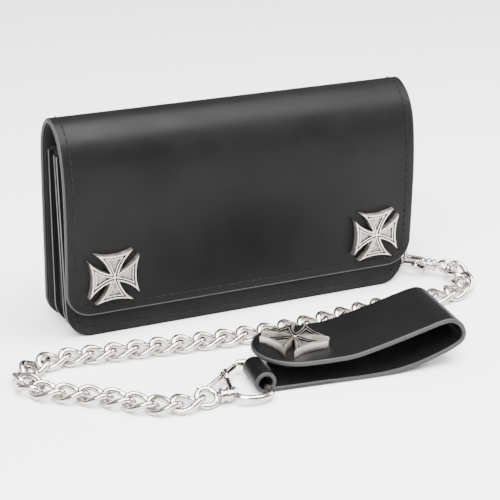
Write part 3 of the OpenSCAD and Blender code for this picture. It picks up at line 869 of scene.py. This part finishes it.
def link_line():
    """The middle line of one twisted oval link along X."""
    a, b = (LINK_L - WIRE_D) / 2, (LINK_W - WIRE_D) / 2
    line = []
    for k in range(40):
        t = 2 * math.pi * k / 40
        turn = LINK_TWIST / 2 * math.cos(t)
        across = b * math.sin(t)
        line.append(Vector((a * math.cos(t), across * math.cos(turn), across * math.sin(turn))))
    return line


def make_chain():
    route = Route([Vector(p) * MM for p in ROUTE])
    meets = link_joints(route)
    points, faces = [], []
    line = link_line()
    for a, b in zip(meets, meets[1:]):
        d = (b - a).normalized()
        turn = Matrix.Rotation(math.atan2(d.y, d.x), 3, "Z") @ Matrix.Rotation(-math.asin(d.z), 3, "Y")
        middle = (a + b) / 2
        tube(points, faces, [middle + turn @ p for p in line], WIRE_D / 2, 12, closed=True)
    chain = make_object("chain", points, faces, [0] * len(faces), [NICKEL])
    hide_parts(*["chain_links_%d" % k for k in range(1, 7)])
    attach(chain, "wallet")
    return chain, route


chain, chain_route = make_chain()


# ---------- clasps ----------

STRAP_TURN = math.radians(-6.5)


def frame_at(x, y, z, turn, tilt=0.0):
    """A matrix for a place in millimetres, turned about Z and then tilted about its own X."""
    return (Matrix.Translation(Vector((x, y, z)) * MM) @ Matrix.Rotation(turn, 4, "Z")
            @ Matrix.Rotation(tilt, 4, "X"))


BELT_CLASP = frame_at(-50.3, -103.6, 4.2, STRAP_TURN, math.radians(3.5))
WALLET_CLASP = frame_at(110.6, -9.5, 6.4, math.radians(134.7))
BAR_R, BARREL_R, BARREL_L = 1.7, 3.4, 8


def smooth_line(path, steps=8):
    path = [Vector((*p, 0)) if len(p) == 2 else Vector(p) for p in path]
    last = len(path) - 1
    return [spline(path, k / steps) for k in range(last * steps + 1)]


def lathe(points, faces, outline, sides=28):
    """Turns (x, radius) points about the X axis."""
    base = len(points)
    for x, r in outline:
        for j in range(sides):
            a = 2 * math.pi * j / sides
            points.append(Vector((x, r * math.cos(a), r * math.sin(a))))
    for i in range(len(outline) - 1):
        for j in range(sides):
            m = (j + 1) % sides
            faces.append([base + i * sides + j, base + i * sides + m,
                          base + (i + 1) * sides + m, base + (i + 1) * sides + j])
    faces.append([base + j for j in range(sides)])
    faces.append([base + (len(outline) - 1) * sides + j for j in range(sides)])


def barrel_outline():
    outline = [(-BARREL_L / 2, 1.5)]
    for x in (-BARREL_L / 2 + 0.9, 0, BARREL_L / 2 - 0.9):
        for k in range(7):
            a = math.pi * k / 6
            outline.append((x - 0.9 * math.cos(a), BARREL_R - 0.75 + 0.75 * math.sin(a)))
    return outline + [(BARREL_L / 2, 1.5)]


def metal_piece(name, node, body, where, points, faces):
    obj = make_object(name, [where @ (p * MM) for p in points], faces, [0] * len(faces), [NICKEL])
    sharpen(obj, 50)
    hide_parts(node)
    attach(obj, body)
    return obj


def clasp(name, node, where, hook, post, pivot):
    """Barrel, hook, and two cheeks that hold the gate's pin."""
    points, faces = [], []
    lathe(points, faces, barrel_outline())
    tube(points, faces, smooth_line(hook), BAR_R, 14)
    for end in (-1, 1):
        cheek = [Vector((*post, 0)), Vector((*post, 1.7 * end)).lerp(Vector((*pivot, 1.7 * end)), 0.4),
                 Vector((*pivot, 1.7 * end))]
        tube(points, faces, smooth_line(cheek), 0.8, 10)
    pin = [Vector((*pivot, z)) for z in (-2.3, -1, 1, 2.3)]
    tube(points, faces, pin, 0.95, 14)
    return metal_piece(name, node, "wallet", where, points, faces)


def gate(name, node, body, where, tip, pivot, thumb):
    """A sprung lever: the bar that closes the hook, its eye, and a curled thumb tab."""
    points, faces = [], []
    tube(points, faces, smooth_line([tip, pivot] + thumb),
         lambda u: 0.95 if u < 0.8 else 0.95 + 1.2 * (u - 0.8), 12)
    for p in points:
        p.z *= 1.7
    eye = [Vector((pivot[0] + 1.5 * math.cos(a), pivot[1] + 1.5 * math.sin(a), 0))
           for a in [2 * math.pi * k / 20 for k in range(20)]]
    tube(points, faces, eye, 0.8, 8, closed=True)
    return metal_piece(name, node, body, where, points, faces)


def swivel(name, node, body, where, roll):
    """A ring with a neck that turns in the barrel."""
    points, faces = [], []
    middle_x, ring_r = -BARREL_L / 2 - 6.1, 4.6
    turn = Matrix.Rotation(math.radians(roll), 3, "X")
    ring = [turn @ Vector((middle_x + ring_r * math.cos(a), 0, ring_r * math.sin(a)))
            for a in [2 * math.pi * k / 40 for k in range(40)]]
    tube(points, faces, ring, 1.3, 14, closed=True)
    lathe(points, faces, [(-BARREL_L / 2 - 1.9, 1.2), (-BARREL_L / 2 - 0.9, 1.9),
                          (-BARREL_L / 2 - 0.3, 2.2), (-BARREL_L / 2 - 0.1, 1.3), (-0.5, 1.3)])
    return metal_piece(name, node, body, where, points, faces)


def make_belt_arm():
    """The arm that carries the belt clasp's gate, from the barrel to the gate's post."""
    points, faces = [], []
    tube(points, faces, smooth_line([(2.6, 1.5), (3.0, 7), HOOK_POST]), 1.35, 12)
    arm = make_object("belt_clasp_arm", [BELT_CLASP @ (p * MM) for p in points], faces,
                      [0] * len(faces), [NICKEL])
    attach(arm, "wallet")
    return arm


BELT_HOOK = [(3, -1), (5.2, -4.5), (11, -6.5), (16.7, -5.7), (19.7, -3), (19.7, 5), (19.7, 14),
             (19.7, 23), (17.2, 26), (12.6, 26.7)]
CLAW = [(3, -1), (5.5, -4.6), (9, -5.1), (13.7, -5), (16.5, -3.7), (17.3, -1.2), (17, 1.4), (15.1, 3.7)]
HOOK_POST, HOOK_PIVOT = (3.8, 13), (4.5, 18.5)
CLAW_POST, CLAW_PIVOT = (3.2, 1.2), (6.4, 3.2)

belt_clasp = clasp("belt_clasp_cast", "belt_clasp", BELT_CLASP, BELT_HOOK, HOOK_POST, HOOK_PIVOT)
belt_arm = make_belt_arm()
wallet_clasp = clasp("wallet_clasp_cast", "wallet_clasp", WALLET_CLASP, CLAW, CLAW_POST, CLAW_PIVOT)
belt_gate = gate("belt_gate_lever", "belt_clasp_gate", "belt_gate", BELT_CLASP, (11.2, 24.3),
                 HOOK_PIVOT, [(-1.5, 13), (-7.8, 7.6), (-12, 8.6)])
wallet_gate = gate("wallet_gate_lever", "wallet_clasp_gate", "wallet_gate", WALLET_CLASP,
                   (13.2, 3.2), CLAW_PIVOT, [(2.6, 6.4), (0.4, 7.2)])
belt_eye = swivel("belt_swivel_eye", "belt_swivel", "belt_swivel", BELT_CLASP, -60)
wallet_eye = swivel("wallet_swivel_eye", "wallet_swivel", "wallet_swivel", WALLET_CLASP, -35)


# ---------- belt strap ----------

STRAP_AT = frame_at(-28, -81.5, 0, STRAP_TURN)
STRAP_W, STRAP_T = 41 * MM, 2.2 * MM
SNAP_X = 21 * MM
# The band's underside from the roll to the fold, and on over the fold to the round end, in X and Z
LOWER_LINE = [(9, 0), (25, 0), (40, 0), (52, 0), (63, 0.7), (74, 2.6), (85, 6), (93.5, 9.4),
              (98.6, 12.8), (99.9, 17.2), (97.6, 22.2), (92.5, 25.2), (87, 24.9), (78, 22.4),
              (66, 19), (54, 15.8), (44, 13.6), (34, 13), (20, 13), (0.5, 13)]


def strap_place(point, across):
    return STRAP_AT @ Vector((point[0], across, point[1]))


strap_line = Profile([(x * MM, z * MM) for x, z in LOWER_LINE], turn=1)
FOLD_FROM = strap_line.nearest((93.5 * MM, 9.4 * MM))
FOLD_TO = strap_line.nearest((92.5 * MM, 25.2 * MM))


def make_strap():
    half = STRAP_W / 2
    far = strap_line.length
    lower = sheet("strap_lower_leather", strap_line,
                  [(0, -half, 0.25 * half, 0.01, 1), (2 * MM, -half, 0.5 * half, math.pi / 2, 1),
                   (5 * MM, -half, 0.8 * half, math.pi / 2, 1)]
                  + straight_rows(9 * MM, FOLD_FROM, half, 1.5 * MM),
                  rim(STRAP_T), strap_place, 28, [BLACK, EDGE])
    fold = sheet("strap_fold_leather", strap_line, straight_rows(FOLD_FROM, FOLD_TO, half, 0.6 * MM),
                 rim(STRAP_T), strap_place, 28, [BLACK, EDGE])
    rows = straight_rows(FOLD_TO, far - half, half, 1.5 * MM, -1)
    rows += corner_rows(far, half, half * 0.999, -1, 22)[::-1][1:]
    upper = sheet("strap_upper_leather", strap_line, rows, rim(STRAP_T), strap_place, 28,
                  [BLACK, EDGE])
    for piece in (lower, fold, upper):
        sharpen(piece)
    roll_r, tongue = 5.2 * MM, 19 * MM
    turns = [(roll_r * math.sin(a), roll_r - roll_r * math.cos(a))
             for a in [-2 * math.pi * k / 48 for k in range(0, 45)]]
    roll_line = Profile([(9.2 * MM, 0), (5 * MM, 0)] + turns + [(4 * MM, 2.5 * MM), (9 * MM, 2.4 * MM),
                                                             (33 * MM, 2.4 * MM)], turn=-1, steps=4)
    middle = -half + tongue / 2
    def roll_place(point, across):
        return strap_place(point, middle + across)
    roll = sheet("strap_roll_leather", roll_line,
                 straight_rows(0, roll_line.length, tongue / 2, 0.8 * MM), rim(STRAP_T * 0.9),
                 roll_place, 14, [BLACK, EDGE])
    sharpen(roll)
    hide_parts("strap_lower")
    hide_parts("strap_upper")
    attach(lower, "strap")
    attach(roll, "strap")
    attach(upper, "strap_top")
    start = strap_place(strap_line.place(FOLD_FROM), 0)
    end = strap_place(strap_line.place(FOLD_TO), 0)
    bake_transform(fold)
    return [lower, fold, upper, roll]


strap_pieces = make_strap()

CONCHO_TURN = math.radians(17)


def strap_concho_place(x, y, up):
    c, s = math.cos(CONCHO_TURN), math.sin(CONCHO_TURN)
    return STRAP_AT @ Vector((SNAP_X + x * c - y * s, x * s + y * c, 13.05 * MM + up))


concho("strap_concho_cast", "strap_concho", "strap_top", strap_concho_place)

cord_path = [tuple(chain_route.place(chain_route.at[-1] * k / 120)) for k in range(121)]
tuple(cord_path[0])


# ---------- stage, light and camera ----------

def area_light(name, at, towards, size, power):
    data = bpy.data.lights.new(name, "AREA")
    data.shape = "SQUARE"
    data.size = size
    data.energy = power
    lamp = bpy.data.objects.new(name, data)
    lamp.location = at
    lamp.rotation_euler = (Vector(towards) - Vector(at)).to_track_quat("-Z", "Y").to_euler()
    bpy.context.scene.collection.objects.link(lamp)


def make_stage():
    mat, tree, shader = new_material("floor")
    coords = object_coords(tree)
    tree.links.new(ramp(tree, noise(tree, coords, 3, 2), 0.2, 0.8, grey(0.88), grey(0.9)),
                   shader.inputs["Base Color"])
    shader.inputs["Roughness"].default_value = 0.7
    shader.inputs["Specular IOR Level"].default_value = 0.2
    size = 6
    floor = make_object("floor", [(-size, -size, 0), (size, -size, 0), (size, size, 0), (-size, size, 0)],
                        [[0, 1, 2, 3]], [0], [mat], smooth=False)
    world = bpy.data.worlds.new("studio")
    world.use_nodes = True
    sky = world.node_tree
    coords = sky.nodes.new("ShaderNodeTexCoord")
    split = sky.nodes.new("ShaderNodeSeparateXYZ")
    sky.links.new(coords.outputs["Generated"], split.inputs["Vector"])
    shade = ramp(sky, split.outputs["Z"], 0.02, 0.85, (0.1, 0.1, 0.11), (0.95, 0.95, 0.96))
    sky.links.new(shade, sky.nodes["Background"].inputs["Color"])
    sky.nodes["Background"].inputs["Strength"].default_value = 1.0
    bpy.context.scene.world = world
    area_light("key", (-0.75, -0.85, 1.0), (0, 0, 0.04), 0.7, 48)
    area_light("top", (0.05, -0.35, 1.3), (0, -0.02, 0.02), 1.1, 75)
    area_light("side", (1.1, -0.3, 0.7), (0, 0, 0.04), 0.6, 22)


make_stage()


def make_camera():
    yaw, low, roll = math.radians(25.47), math.radians(21.75), math.radians(0.85)
    forward = Vector((math.sin(yaw) * math.cos(low), math.cos(yaw) * math.cos(low), -math.sin(low)))
    right = Vector((math.cos(yaw), -math.sin(yaw), 0))
    up = right.cross(forward)
    x_axis = right * math.cos(roll) + up * math.sin(roll)
    y_axis = up * math.cos(roll) - right * math.sin(roll)
    data = bpy.data.cameras.new("camera")
    data.lens, data.sensor_width = 120.3, 36
    data.clip_start, data.clip_end = 0.01, 50
    camera = bpy.data.objects.new("camera", data)
    at = Vector((-0.3323, -0.7166, 0.3437))
    turn = Matrix((x_axis, y_axis, -forward)).transposed()
    camera.matrix_world = Matrix.Translation(at) @ turn.to_4x4()
    bpy.context.scene.collection.objects.link(camera)
    bpy.context.scene.camera = camera


make_camera()
